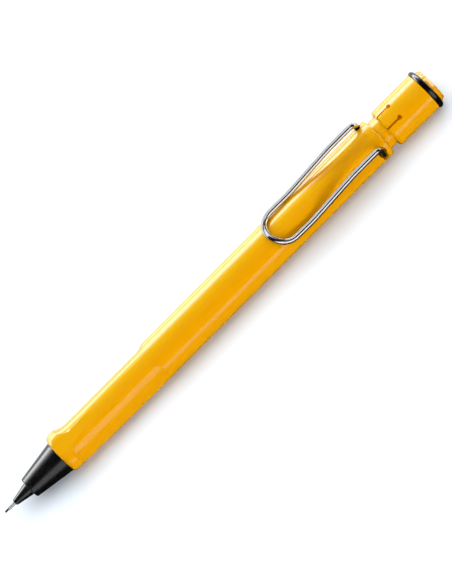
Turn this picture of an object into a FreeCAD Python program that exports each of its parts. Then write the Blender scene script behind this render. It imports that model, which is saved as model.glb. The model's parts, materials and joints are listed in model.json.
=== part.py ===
"""Mechanical pencil with a wire pocket clip, as a parametric FreeCAD document.

The pencil lies along X with its lead tip at the low end and its clip on top. Every sketch measures
stations along X from the lead tip, and heights from the pencil's axis. Each body's Placement then
moves the axis up to where the pencil lies on the floor, with the origin under its middle.
"""

import FreeCAD, Part
import math
import os

import Sketcher

Vector = FreeCAD.Vector

SIZES = {
    "lengths along the axis": {
        "lead_out": 1.04,
        "pipe_out": 2.09,
        "nozzle_length": 4.77,
        "cone_length": 10.30,
        "barrel_length": 102.15,
        "flange_length": 2.30,
        "button_gap": 2.35,
        "button_length": 14.95,
    },
    "fits": {
        "running_clearance": 0.05,
        "slip_clearance": 0.02,
        "lead_clearance": 0.01,
        "seat_gap": 0.05,
    },
    "lead and pipe": {
        "lead_radius": 0.25,
        "lead_length": 58.0,
        "lead_point": 0.12,
        "spare_lead_length": 60.0,
        "spare_lead_orbit": 1.20,
        "spare_lead_setback": 0.50,
        "pipe_radius": 0.43,
        "pipe_bore_clearance": 0.03,
        "pipe_seat_length": 3.20,
        "pipe_edge": 0.09,
    },
    "nozzle and retainer": {
        "nozzle_tip_radius": 0.80,
        "nozzle_rear_radius": 1.75,
        "nozzle_edge": 0.15,
        "nozzle_foot_radius": 1.93,
        "nozzle_foot_length": 3.30,
        "lead_guide_clearance": 0.11,
        "retainer_radius": 1.23,
        "retainer_length": 2.50,
    },
    "front cone": {
        "cone_front_radius": 2.75,
        "cone_rear_radius": 4.275,
        "cone_edge": 0.35,
        "cone_lip": 0.65,
        "shank_length": 8.90,
    },
    "chuck": {
        "jaw_setback": 6.30,
        "jaw_length": 7.80,
        "jaw_head_length": 0.70,
        "jaw_nose_radius": 1.30,
        "jaw_head_radius": 1.70,
        "jaw_taper_length": 2.10,
        "jaw_neck_radius": 1.15,
        "jaw_bore_radius": 0.50,
        "jaw_grip_length": 2.60,
        "jaw_angle": 110.0,
        "ring_length": 1.50,
        "ring_radius": 2.20,
        "ring_clearance": 0.03,
        "shank_radius": 1.20,
        "shank_bore_radius": 0.60,
        "chuck_seat_length": 2.50,
    },
    "sleeve and spring": {
        "sleeve_skin": 0.45,
        "sleeve_room": 0.12,
        "sleeve_wall": 2.50,
        "sleeve_nose_bore_radius": 1.38,
        "sleeve_length": 27.50,
        "sleeve_flange_length": 1.75,
        "spring_length": 18.90,
        "spring_coil_radius": 1.85,
        "spring_wire_radius": 0.175,
        "spring_pitch": 1.55,
    },
    "lead tube": {
        "connector_flange_inset": 0.03,
        "connector_flange_length": 2.50,
        "connector_spigot_length": 5.50,
        "connector_bore_radius": 0.70,
        "tube_radius": 2.45,
        "tube_wall": 0.40,
    },
    "barrel": {
        "barrel_radius": 5.175,
        "barrel_front_bore_radius": 3.70,
        "barrel_bore_radius": 3.20,
        "barrel_rear_bore_radius": 3.90,
        "taper_drop": 0.125,
        "lip_length": 2.10,
        "lip_blend_length": 11.65,
        "taper_length": 14.0,
        "mouth_step": 0.025,
        "mouth_corner_offset": 0.30,
        "mouth_corner_drop": 0.18,
        "lip_back_drop": 0.325,
        "lip_corner_offset": 2.03,
        "lip_corner_drop": 1.375,
        "blend_corner_offset": 0.06,
        "lip_corner_angle": 50.0,
        "facet_angle": 60.0,
        "facet_depth": 0.605,
        "facet_arc_radius": 8.10,
        "facet_setback": 6.25,
        "facet_length": 22.5,
        "facet_front_radius": 6.0,
        "facet_rear_radius": 7.0,
        "facet_tool_height": 7.50,
    },
    "end collar": {
        "flange_edge": 0.30,
        "neck_length": 6.90,
        "plug_length": 7.40,
        "collar_room": 0.15,
    },
    "clip": {
        "clip_wire_radius": 0.725,
        "clip_leg_inset": 0.775,
        "clip_leg_setback": 0.10,
        "clip_hook_height": 0.70,
        "clip_hook_gap": 0.25,
        "clip_hook_bend": 0.90,
        "clip_rise": 1.225,
        "clip_top_bend": 2.30,
        "clip_top_length": 8.50,
        "clip_fall_length": 13.60,
        "clip_fall_bend": 18.0,
        "clip_touch_bend": 14.0,
        "clip_reach": 32.20,
        "clip_end_bend": 4.30,
        "clip_gap": 0.03,
        "clip_hole_room": 0.275,
    },
    "button": {
        "button_step": 0.025,
        "button_edge": 0.40,
        "skirt_wall": 0.95,
        "skirt_room": 0.15,
        "skirt_depth": 7.20,
        "crown_thickness": 2.30,
        "crown_side_drop": 0.40,
        "crown_shoulder_drop": 0.65,
        "crown_face_drop": 1.05,
        "crown_shoulder_length": 0.65,
        "crown_side_setback": 0.56,
        "slit_width": 0.40,
        "slit_eye_radius": 0.55,
        "slit_eye_distance": 3.90,
        "slit_angle": 22.5,
        "seal_stand": 0.35,
        "seal_section_radius": 0.78,
        "seal_setback": 1.90,
    },
    "eraser": {
        "eraser_room": 0.05,
        "eraser_exposed": 1.80,
        "eraser_gap": 0.40,
        "eraser_edge": 0.25,
        "holder_wall": 0.15,
        "holder_length": 7.00,
        "holder_floor": 0.80,
        "holder_flange_inset": 0.05,
        "holder_flange_length": 0.40,
        "needle_radius": 0.20,
        "needle_length": 20.0,
        "needle_seat_length": 0.60,
    },
}

SPARE_LEAD_COUNT = 3
JAW_COUNT = 3
LIP_STEPS = 3
BEND_MARGIN = 1.02
SIDE_RISE_SHARE = 2.0
END_RISE_SHARE = 0.25

doc = FreeCAD.newDocument("mechanical_pencil")
sheet = doc.addObject("Spreadsheet::Sheet", "dims")


def fill_sheet():
    """Write every driving dimension into the sheet, under its alias."""
    row = 1
    for group, sizes in SIZES.items():
        sheet.set(f"A{row}", group)
        row += 1
        for name, size in sizes.items():
            sheet.set(f"A{row}", name)
            sheet.set(f"B{row}", str(size))
            sheet.setAlias(f"B{row}", name)
            row += 1
    doc.recompute()


class Dimension(str):
    """An expression on the sheet's cells, which + - * and / join to other expressions."""

    def _join(self, sign, other):
        return Dimension(f"({self} {sign} {other})")

    def __add__(self, other):
        return self._join("+", other)

    def __sub__(self, other):
        return self._join("-", other)

    def __mul__(self, other):
        return self._join("*", other)

    def __truediv__(self, other):
        return self._join("/", other)

    def value(self):
        """The expression's number, in mm or degrees."""
        return float(sheet.evalExpression(self))


def size(name):
    return Dimension(f"dims.{name}")


def root(expression):
    return Dimension(f"sqrt({expression})")


fill_sheet()
ZERO = Dimension("0")
OVERRUN = Dimension("1")

# Stations along the axis, from the lead tip.
pipe_front = size("lead_out")
nozzle_front = pipe_front + size("pipe_out")
cone_front = nozzle_front + size("nozzle_length")
cone_rear = cone_front + size("cone_length")
barrel_front = cone_rear + size("seat_gap")
barrel_rear = barrel_front + size("barrel_length")
flange_rear = barrel_rear + size("flange_length")
button_front = flange_rear + size("button_gap")
crown_end = button_front + size("button_length")

nozzle_foot_front = cone_front + size("cone_lip") + size("seat_gap")
nozzle_foot_rear = nozzle_foot_front + size("nozzle_foot_length")
jaw_front = cone_front + size("jaw_setback")
jaw_rear = jaw_front + size("jaw_length")
ring_front = jaw_front + size("jaw_head_length")
ring_rear = ring_front + size("ring_length")
sleeve_front = ring_rear + size("seat_gap")
spring_front = sleeve_front + size("sleeve_wall") + size("seat_gap")
spring_rear = spring_front + size("spring_length")
connector_front = spring_rear + size("seat_gap")
connector_flange_rear = connector_front + size("connector_flange_length")
shank_rear = barrel_front + size("shank_length")
sleeve_flange_front = shank_rear + size("seat_gap")
sleeve_flange_rear = sleeve_flange_front + size("sleeve_flange_length")
barrel_shoulder = sleeve_flange_rear + size("seat_gap")

eraser_rear = crown_end - size("crown_thickness") - size("eraser_gap")
tube_rear = eraser_rear - size("eraser_exposed")
tube_front = connector_flange_rear + size("seat_gap")
holder_flange_front = tube_rear + size("seat_gap")
holder_front = holder_flange_front - size("holder_length")
seal_station = crown_end - size("seal_setback")
clip_leg_station = barrel_rear + size("clip_leg_setback")


# Radii that follow from the driving ones.
pipe_bore_radius = size("lead_radius") + size("pipe_bore_clearance")
lead_guide_radius = size("lead_radius") + size("lead_guide_clearance")
tube_bore_radius = size("tube_radius") - size("tube_wall")
sleeve_bore_radius = size("tube_radius") + size("sleeve_room")
sleeve_radius = sleeve_bore_radius + size("sleeve_skin")
connector_flange_radius = size("tube_radius") - size("connector_flange_inset")
collar_bore_radius = size("tube_radius") + size("collar_room")
mouth_radius = size("cone_rear_radius") + size("mouth_step")
mouth_corner_radius = mouth_radius - size("mouth_corner_drop")
taper_end_radius = size("barrel_radius") - size("taper_drop")
lip_back_radius = size("barrel_radius") - size("lip_back_drop")
lip_corner_radius = size("barrel_radius") - size("lip_corner_drop")
facet_distance = size("barrel_radius") - size("facet_depth")
button_radius = size("barrel_radius") - size("button_step")
skirt_bore_radius = button_radius - size("skirt_wall")
neck_radius = skirt_bore_radius - size("skirt_room")
seal_radius = button_radius + size("seal_stand")
clip_leg_side = size("barrel_radius") - size("clip_leg_inset")
clip_hole_radius = size("clip_wire_radius") + size("clip_hole_room")
clip_top_height = size("barrel_radius") + size("clip_rise")
holder_radius = tube_bore_radius - size("slip_clearance")
holder_bore_radius = holder_radius - size("holder_wall")
eraser_radius = holder_bore_radius - size("eraser_room")


def place(part, turn=0.0):
    """Bind a part's Placement: its stations' origin under the pencil's middle, turned about the axis."""
    part.Placement = FreeCAD.Placement(Vector(0, 0, 0), FreeCAD.Rotation(Vector(1, 0, 0), turn))
    part.setExpression("Placement.Base.x", Dimension("0") - crown_end / 2)
    part.setExpression("Placement.Base.z", seal_radius)


def new_body(name, turn=0.0):
    body = doc.addObject("PartDesign::Body", name)
    body.Label = name
    place(body, turn)
    return body


def new_sketch(body, name, plane):
    """A sketch on one of the body's own origin planes."""
    sketch = body.newObject("Sketcher::SketchObject", name)
    support = [f for f in body.Origin.OriginFeatures if f.Role == plane][0]
    sketch.AttachmentSupport = (support, [""])
    sketch.MapMode = "FlatFace"
    return sketch


def pin_down(sketch, geometry, point, x, y):
    """Hold a sketch point at x, y from the sketch's origin."""
    for kind, target in (("DistanceX", x), ("DistanceY", y)):
        number = sketch.addConstraint(
            Sketcher.Constraint(kind, -1, 1, geometry, point, target.value())
        )
        sketch.setExpression(f"Constraints[{number}]", target)


def add_circle(sketch, x, y, radius):
    circle = Part.Circle(Vector(x.value(), y.value(), 0), Vector(0, 0, 1), radius.value())
    number = sketch.addGeometry(circle, False)
    pin_down(sketch, number, 3, x, y)
    held = sketch.addConstraint(Sketcher.Constraint("Radius", number, radius.value()))
    sketch.setExpression(f"Constraints[{held}]", radius)


def arc_between(start, end, radius):
    """A hollow arc, bulging towards the axis, between two points of an outline that runs along +X."""
    chord = end - start
    half = chord.Length / 2
    side = Vector(-chord.y, chord.x, 0).normalize()
    rise = math.sqrt(radius * radius - half * half)
    centre = (start + end) / 2 + side * rise
    middle = centre - side * radius
    return Part.Arc(start, middle, end)


def add_outline(sketch, points):
    """Draw a closed outline of (x, y) corners. A third entry makes the next stretch a hollow arc."""
    corners = [Vector(p[0].value(), p[1].value(), 0) for p in points]
    count = len(points)
    for i, point in enumerate(points):
        start, end = corners[i], corners[(i + 1) % count]
        if len(point) == 3:
            sketch.addGeometry(arc_between(start, end, point[2].value()), False)
        else:
            sketch.addGeometry(Part.LineSegment(start, end), False)
    for i in range(count):
        sketch.addConstraint(Sketcher.Constraint("Coincident", i, 2, (i + 1) % count, 1))
    for i, point in enumerate(points):
        pin_down(sketch, i, 1, point[0], point[1])
        if len(point) == 3:
            held = sketch.addConstraint(Sketcher.Constraint("Radius", i, point[2].value()))
            sketch.setExpression(f"Constraints[{held}]", point[2])


def add_feature(body, kind, name, sketch):
    feature = body.newObject(kind, name)
    feature.Profile = sketch
    body.Tip = feature
    return feature


def revolve(body, name, points, angle=None):
    """Turn an outline of (station, radius) points about the pencil's axis."""
    sketch = new_sketch(body, f"{name}_outline", "XZ_Plane")
    add_outline(sketch, points)
    feature = add_feature(body, "PartDesign::Revolution", name, sketch)
    feature.ReferenceAxis = (sketch, ["H_Axis"])
    feature.Angle = 360
    if angle is not None:
        feature.Midplane = True
        feature.setExpression("Angle", angle)
    sketch.Visibility = False
    doc.recompute()
    return feature


def check_cut(body, before):
    """Raise if the last cut took nothing away, as one that points away from the solid does."""
    doc.recompute()
    if body.Shape.Volume > before - 1e-6:
        raise RuntimeError(f"{body.Tip.Name} cut nothing from {body.Label}")


def groove(body, name, points):
    """Cut an outline of (station, radius) points, turned about the pencil's axis."""
    before = body.Shape.Volume
    sketch = new_sketch(body, f"{name}_outline", "XZ_Plane")
    add_outline(sketch, points)
    feature = add_feature(body, "PartDesign::Groove", name, sketch)
    feature.ReferenceAxis = (sketch, ["H_Axis"])
    feature.Angle = 360
    check_cut(body, before)


def round_edges(body, name, kind, radius, wanted):
    """Fillet or chamfer the edges of the body that wanted(edge) picks."""
    doc.recompute()
    base = body.Tip
    names = [f"Edge{i + 1}" for i, edge in enumerate(base.Shape.Edges) if wanted(edge)]
    if not names:
        raise RuntimeError(f"{name} found no edge on {body.Label}")
    feature = body.newObject(f"PartDesign::{kind}", name)
    feature.Base = (base, names)
    feature.setExpression("Radius" if kind == "Fillet" else "Size", radius)
    body.Tip = feature
    doc.recompute()


def circle_at(station, radius):
    """Picks the circular edges at a station with a radius."""

    def wanted(edge):
        curve = edge.Curve
        return (
            isinstance(curve, Part.Circle)
            and abs(curve.Center.x - station.value()) < 1e-4
            and abs(curve.Radius - radius.value()) < 1e-4
        )

    return wanted


def tube(front, rear, outer, inner):
    """The outline of a plain tube between two stations."""
    return [(front, inner), (rear, inner), (rear, outer), (front, outer)]


def build_lead():
    lead, rear = size("lead_radius"), size("lead_length")
    body = new_body("writing_lead")
    revolve(body, "lead", [(ZERO, ZERO), (rear, ZERO), (rear, lead), (ZERO, lead)])
    round_edges(body, "lead_point", "Chamfer", size("lead_point"), circle_at(ZERO, lead))
    return body


def build_spare_leads():
    """Three loose leads in the tube, as separate solids of one node."""
    leads = []
    front = tube_front + size("connector_spigot_length") + size("spare_lead_setback")
    for number in range(SPARE_LEAD_COUNT):
        angle = 2 * math.pi * number / SPARE_LEAD_COUNT
        lead = doc.addObject("Part::Cylinder", f"spare_lead_{number + 1}")
        lead.setExpression("Radius", size("lead_radius"))
        lead.setExpression("Height", size("spare_lead_length"))
        lead.Placement = FreeCAD.Placement(Vector(0, 0, 0), FreeCAD.Rotation(Vector(0, 1, 0), 90))
        lead.setExpression("Placement.Base.x", front)
        lead.setExpression("Placement.Base.y", size("spare_lead_orbit") * f"{math.sin(angle):.9f}")
        lead.setExpression("Placement.Base.z", size("spare_lead_orbit") * f"{math.cos(angle):.9f}")
        leads.append(lead)
    group = doc.addObject("Part::Compound", "spare_leads")
    group.Label = "spare_leads"
    group.Links = leads
    place(group)
    return group


def build_pipe():
    rear = nozzle_front + size("pipe_seat_length")
    body = new_body("lead_pipe")
    revolve(body, "pipe", tube(pipe_front, rear, size("pipe_radius"), pipe_bore_radius))
    edge = circle_at(pipe_front, size("pipe_radius"))
    round_edges(body, "pipe_end", "Chamfer", size("pipe_edge"), edge)
    return body


def build_nozzle():
    """The small cone, with a foot that is held behind the lip of the big cone."""
    seat = size("pipe_radius") + size("slip_clearance")
    pipe_stop = nozzle_front + size("pipe_seat_length") + size("slip_clearance")
    pocket = size("retainer_radius") + size("slip_clearance")
    outline = [
        (nozzle_front, seat),
        (pipe_stop, seat),
        (pipe_stop, lead_guide_radius),
        (nozzle_foot_front, lead_guide_radius),
        (nozzle_foot_front, pocket),
        (nozzle_foot_rear, pocket),
        (nozzle_foot_rear, size("nozzle_foot_radius")),
        (nozzle_foot_front, size("nozzle_foot_radius")),
        (nozzle_foot_front, size("nozzle_rear_radius")),
        (cone_front, size("nozzle_rear_radius")),
        (nozzle_front, size("nozzle_tip_radius")),
    ]
    body = new_body("nozzle")
    revolve(body, "nozzle_turned", outline)
    edge = circle_at(nozzle_front, size("nozzle_tip_radius"))
    round_edges(body, "nozzle_tip", "Fillet", size("nozzle_edge"), edge)
    return body


def build_retainer():
    front = nozzle_foot_front + size("seat_gap")
    rear = front + size("retainer_length")
    bore = size("lead_radius") + size("lead_clearance")
    body = new_body("lead_retainer")
    revolve(body, "retainer", tube(front, rear, size("retainer_radius"), bore))
    return body


def build_cone():
    """The big cone: a lip over the nozzle's foot, the ring's chamber, and a shank for the barrel."""
    lip_bore = size("nozzle_rear_radius") + size("slip_clearance")
    foot_bore = size("nozzle_foot_radius") + size("slip_clearance")
    chamber = size("ring_radius") + size("running_clearance")
    ring_stop = jaw_front - size("seat_gap")
    sleeve_bore = sleeve_radius + size("running_clearance")
    shank = size("barrel_front_bore_radius") - size("running_clearance")
    lip_rear = cone_front + size("cone_lip")
    outline = [
        (cone_front, lip_bore),
        (lip_rear, lip_bore),
        (lip_rear, foot_bore),
        (ring_stop, foot_bore),
        (ring_stop, chamber),
        (ring_rear, chamber),
        (ring_rear, sleeve_bore),
        (shank_rear, sleeve_bore),
        (shank_rear, shank),
        (cone_rear, shank),
        (cone_rear, size("cone_rear_radius")),
        (cone_front, size("cone_front_radius")),
    ]
    body = new_body("front_cone")
    revolve(body, "cone_turned", outline)
    edge = circle_at(cone_front, size("cone_front_radius"))
    round_edges(body, "cone_edge", "Fillet", size("cone_edge"), edge)
    return body


def build_jaw(number):
    """One jaw: a sector with a conical head that the clutch ring closes."""
    grip = size("lead_radius") + size("lead_clearance")
    grip_rear = jaw_front + size("jaw_grip_length")
    taper_rear = ring_front + size("jaw_taper_length")
    rear = jaw_rear - size("seat_gap")
    outline = [
        (jaw_front, grip),
        (grip_rear, grip),
        (grip_rear, size("jaw_bore_radius")),
        (rear, size("jaw_bore_radius")),
        (rear, size("jaw_neck_radius")),
        (taper_rear, size("jaw_neck_radius")),
        (ring_front, size("jaw_head_radius")),
        (jaw_front, size("jaw_nose_radius")),
    ]
    body = new_body(f"chuck_jaw_{number}", 360.0 / JAW_COUNT * (number - 1))
    revolve(body, f"jaw_{number}_sector", outline, size("jaw_angle"))
    return body


def build_chuck_shank():
    rear = connector_front + size("chuck_seat_length") - size("seat_gap")
    body = new_body("chuck_shank")
    outline = tube(jaw_rear, rear, size("shank_radius"), size("shank_bore_radius"))
    revolve(body, "shank_turned", outline)
    return body


def build_clutch_ring():
    """The ring, coned inside to match the heads of the closed jaws."""
    slope = (size("jaw_head_radius") - size("jaw_neck_radius")) / size("jaw_taper_length")
    wide = size("jaw_head_radius") + size("ring_clearance")
    narrow = wide - slope * size("ring_length")
    outline = [
        (ring_front, wide),
        (ring_rear, narrow),
        (ring_rear, size("ring_radius")),
        (ring_front, size("ring_radius")),
    ]
    body = new_body("clutch_ring")
    revolve(body, "ring_turned", outline)
    return body


def build_sleeve():
    """The housing: a nose that guides the jaws, the spring's room, and a flange clamped by the cone."""
    rear = sleeve_front + size("sleeve_length")
    wall_rear = sleeve_front + size("sleeve_wall")
    flange = size("barrel_front_bore_radius") - size("running_clearance")
    outline = [
        (sleeve_front, size("sleeve_nose_bore_radius")),
        (wall_rear, size("sleeve_nose_bore_radius")),
        (wall_rear, sleeve_bore_radius),
        (rear, sleeve_bore_radius),
        (rear, sleeve_radius),
        (sleeve_flange_rear, sleeve_radius),
        (sleeve_flange_rear, flange),
        (sleeve_flange_front, flange),
        (sleeve_flange_front, sleeve_radius),
        (sleeve_front, sleeve_radius),
    ]
    body = new_body("mechanism_sleeve")
    revolve(body, "sleeve_turned", outline)
    return body


def build_spring():
    """A coil of round wire, swept along a helix about the pencil's axis."""
    coil_height = size("spring_length") - size("spring_wire_radius") * 2
    helix = doc.addObject("Part::Helix", "spring_helix")
    helix.setExpression("Pitch", size("spring_pitch"))
    helix.setExpression("Height", coil_height)
    helix.setExpression("Radius", size("spring_coil_radius"))
    wire = doc.addObject("Part::Circle", "spring_wire")
    wire.setExpression("Radius", size("spring_wire_radius"))
    wire.Placement = FreeCAD.Placement(Vector(0, 0, 0), FreeCAD.Rotation(Vector(1, 0, 0), 90))
    wire.setExpression("Placement.Base.x", size("spring_coil_radius"))
    doc.recompute()
    spring = doc.addObject("Part::Sweep", "return_spring")
    spring.Label = "return_spring"
    spring.Sections = [wire]
    spring.Spine = (helix, [f"Edge{i + 1}" for i in range(len(helix.Shape.Edges))])
    spring.Solid = True
    spring.Frenet = True
    spring.Placement = FreeCAD.Placement(Vector(0, 0, 0), FreeCAD.Rotation(Vector(0, 1, 0), 90))
    start = spring_front + size("spring_wire_radius")
    spring.setExpression("Placement.Base.x", start - crown_end / 2)
    spring.setExpression("Placement.Base.z", seal_radius)
    return spring


def build_connector():
    """Joins the chuck's shank to the lead tube, and seats the spring's rear end."""
    seat = size("shank_radius") + size("slip_clearance")
    seat_rear = connector_front + size("chuck_seat_length")
    spigot = tube_bore_radius - size("slip_clearance")
    rear = connector_flange_rear + size("connector_spigot_length")
    outline = [
        (connector_front, seat),
        (seat_rear, seat),
        (seat_rear, size("connector_bore_radius")),
        (rear, size("connector_bore_radius")),
        (rear, spigot),
        (connector_flange_rear, spigot),
        (connector_flange_rear, connector_flange_radius),
        (connector_front, connector_flange_radius),
    ]
    body = new_body("tube_connector")
    revolve(body, "connector_turned", outline)
    return body


def build_tube():
    body = new_body("lead_reservoir")
    outline = tube(tube_front, tube_rear, size("tube_radius"), tube_bore_radius)
    revolve(body, "tube_drawn", outline)
    return body


def lip_section(body, name, station, back, offset, corner):
    """One cross-section of the lip: three circles, the back one and two corners, wrapped by a band.

    The corners' centres stand off the axis by offset, at the corner angle either side of the clip.
    """
    sketch = new_sketch(body, name, "YZ_Plane")
    sketch.setExpression("AttachmentOffset.Base.z", station)
    angle = math.radians(size("lip_corner_angle").value())
    side = offset * f"{math.sin(angle):.9f}"
    up = offset * f"{math.cos(angle):.9f}"
    spread = math.acos((back.value() - corner.value()) / offset.value())
    low = angle + spread
    centres = (
        (ZERO, ZERO, back, math.pi / 2 + low, 2.5 * math.pi - low),
        (side, up, corner, math.pi / 2 - low, math.pi / 2),
        (ZERO - side, up, corner, math.pi / 2, math.pi / 2 + low),
    )
    arcs = []
    for x, y, radius, first, last in centres:
        circle = Part.Circle(Vector(x.value(), y.value(), 0), Vector(0, 0, 1), radius.value())
        number = sketch.addGeometry(Part.ArcOfCircle(circle, first, last), False)
        arcs.append(number)
    for number, following in zip(arcs, arcs[1:] + arcs[:1]):
        start = sketch.getPoint(number, 2)
        end = sketch.getPoint(following, 1)
        line = sketch.addGeometry(Part.LineSegment(start, end), False)
        sketch.addConstraint(Sketcher.Constraint("Tangent", number, 2, line, 1))
        sketch.addConstraint(Sketcher.Constraint("Tangent", line, 2, following, 1))
    for number, (x, y, radius, _, _) in zip(arcs, centres):
        pin_down(sketch, number, 3, x, y)
        held = sketch.addConstraint(Sketcher.Constraint("Radius", number, radius.value()))
        sketch.setExpression(f"Constraints[{held}]", radius)
    return sketch


def between(low, high, share):
    return low + (high - low) * f"{share:.9f}"


def loft(body, name, sections):
    feature = add_feature(body, "PartDesign::AdditiveLoft", name, sections[0])
    feature.Sections = sections[1:]
    doc.recompute()


def build_barrel_nose(body):
    """The lip, rounded forward as a quarter ellipse and blended back into the round barrel."""
    sections = []
    for step in range(LIP_STEPS + 1):
        turn = math.pi / 2 * step / LIP_STEPS
        growth = math.sin(turn)
        station = barrel_front + size("lip_length") * f"{1 - math.cos(turn):.9f}"
        back = between(mouth_radius, lip_back_radius, growth)
        offset = between(size("mouth_corner_offset"), size("lip_corner_offset"), growth)
        corner = between(mouth_corner_radius, lip_corner_radius, growth)
        sections.append(lip_section(body, f"lip_{step}", station, back, offset, corner))
    loft(body, "lip_rounding", sections)
    peak = lip_section(
        body,
        "lip_peak",
        barrel_front + size("lip_length"),
        lip_back_radius,
        size("lip_corner_offset"),
        lip_corner_radius,
    )
    blend = lip_section(
        body,
        "lip_blend_end",
        barrel_front + size("lip_length") + size("lip_blend_length"),
        taper_end_radius,
        size("blend_corner_offset"),
        taper_end_radius - size("blend_corner_offset") / 2,
    )
    loft(body, "lip_blend", [peak, blend])


def cut_facet(body, name, side):
    """One finger facet: a hollowed strip, turned about a line beyond the axis from the facet."""
    before = body.Shape.Volume
    sketch = new_sketch(body, name, "XZ_Plane")
    turn = FreeCAD.Rotation(Vector(1, 0, 0), side * size("facet_angle").value())
    sketch.AttachmentOffset = FreeCAD.Placement(Vector(0, 0, 0), turn)
    distance, top = facet_distance, size("facet_tool_height")
    front_radius, rear_radius = size("facet_front_radius"), size("facet_rear_radius")
    front = barrel_front + size("facet_setback")
    rear = front + size("facet_length")
    rise = top - distance
    front_run = root(rise * (front_radius * 2 - rise))
    rear_run = root(rise * (rear_radius * 2 - rise))
    outline = [
        (front - front_run, top, front_radius),
        (front, distance),
        (rear, distance, rear_radius),
        (rear + rear_run, top),
    ]
    add_outline(sketch, outline)
    beyond = size("facet_arc_radius") - distance
    low = -beyond.value()
    ends = (Vector(0, low, 0), Vector(rear.value(), low, 0))
    axis = sketch.addGeometry(Part.LineSegment(*ends), True)
    sketch.addConstraint(Sketcher.Constraint("Horizontal", axis))
    for point, station in ((1, ZERO), (2, rear)):
        held = sketch.addConstraint(
            Sketcher.Constraint("DistanceX", -1, 1, axis, point, station.value())
        )
        sketch.setExpression(f"Constraints[{held}]", station)
    held = sketch.addConstraint(Sketcher.Constraint("DistanceY", axis, 1, -1, 1, beyond.value()))
    sketch.setExpression(f"Constraints[{held}]", beyond)
    feature = add_feature(body, "PartDesign::Groove", f"{name}_cut", sketch)
    feature.ReferenceAxis = (sketch, ["Axis0"])
    feature.Angle = 360
    check_cut(body, before)


def cut_clip_seats(body):
    """The two holes that the clip's legs go down, and the slot across for their hooks."""
    before = body.Shape.Volume
    holes = new_sketch(body, f"{body.Name}_clip_holes", "XY_Plane")
    holes.setExpression("AttachmentOffset.Base.z", size("clip_hook_height"))
    for side in (clip_leg_side, ZERO - clip_leg_side):
        add_circle(holes, clip_leg_station, side, clip_hole_radius)
    cut = add_feature(body, "PartDesign::Pocket", f"{body.Name}_clip_hole_cut", holes)
    cut.Reversed = True
    cut.setExpression("Length", size("barrel_radius"))
    check_cut(body, before)
    before = body.Shape.Volume
    slot = new_sketch(body, f"{body.Name}_hook_slot", "XZ_Plane")
    slot_radius = size("clip_wire_radius") + size("running_clearance") * 2
    add_circle(slot, clip_leg_station, size("clip_hook_height"), slot_radius)
    cut = add_feature(body, "PartDesign::Pocket", f"{body.Name}_hook_slot_cut", slot)
    cut.Midplane = True
    cut.setExpression("Length", (clip_leg_side + clip_hole_radius) * 2)
    check_cut(body, before)


def build_barrel():
    body = new_body("barrel")
    build_barrel_nose(body)
    blend_end = barrel_front + size("lip_length") + size("lip_blend_length")
    outline = [
        (blend_end, ZERO),
        (barrel_rear, ZERO),
        (barrel_rear, size("barrel_radius")),
        (blend_end + size("taper_length"), size("barrel_radius")),
        (blend_end, taper_end_radius),
    ]
    revolve(body, "barrel_turned", outline)
    for name, side in (("left_facet", 1), ("right_facet", -1)):
        cut_facet(body, name, side)
    plug_front = barrel_rear - size("plug_length") - size("seat_gap")
    bore = [
        (barrel_front - OVERRUN, ZERO),
        (barrel_front - OVERRUN, size("barrel_front_bore_radius")),
        (barrel_shoulder, size("barrel_front_bore_radius")),
        (barrel_shoulder, size("barrel_bore_radius")),
        (plug_front, size("barrel_bore_radius")),
        (plug_front, size("barrel_rear_bore_radius")),
        (barrel_rear + OVERRUN, size("barrel_rear_bore_radius")),
        (barrel_rear + OVERRUN, ZERO),
    ]
    groove(body, "barrel_bore", bore)
    cut_clip_seats(body)
    return body


def build_collar():
    """The end collar: a plug in the barrel, a flange, and the neck that the button slides over."""
    plug = size("barrel_rear_bore_radius") - size("slip_clearance")
    flange_front = barrel_rear + size("slip_clearance")
    neck_rear = flange_rear + size("neck_length")
    outline = [
        (barrel_rear - size("plug_length"), collar_bore_radius),
        (neck_rear, collar_bore_radius),
        (neck_rear, neck_radius),
        (flange_rear, neck_radius),
        (flange_rear, size("barrel_radius")),
        (flange_front, size("barrel_radius")),
        (flange_front, plug),
        (barrel_rear - size("plug_length"), plug),
    ]
    body = new_body("end_collar")
    revolve(body, "collar_turned", outline)
    edge = circle_at(flange_rear, size("barrel_radius"))
    round_edges(body, "flange_edge", "Fillet", size("flange_edge"), edge)
    cut_clip_seats(body)
    return body


def bent_wire_path(points, bends):
    """Straight runs between points, joined by a tangent arc of each bend's radius at its point."""
    edges = []
    last = points[0]
    for before, corner, after, radius in zip(points, points[1:], points[2:], bends):
        arriving = (corner - before).normalize()
        leaving = (after - corner).normalize()
        turn = arriving.getAngle(leaving)
        reach = radius * math.tan(turn / 2)
        start = corner - arriving * reach
        end = corner + leaving * reach
        inward = (leaving - arriving).normalize()
        centre = corner + inward * (radius / math.cos(turn / 2))
        middle = centre - inward * radius
        edges.append(Part.LineSegment(last, start).toShape())
        edges.append(Part.Arc(start, middle, end).toShape())
        last = end
    edges.append(Part.LineSegment(last, points[-1]).toShape())
    return Part.Wire(edges)


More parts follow.
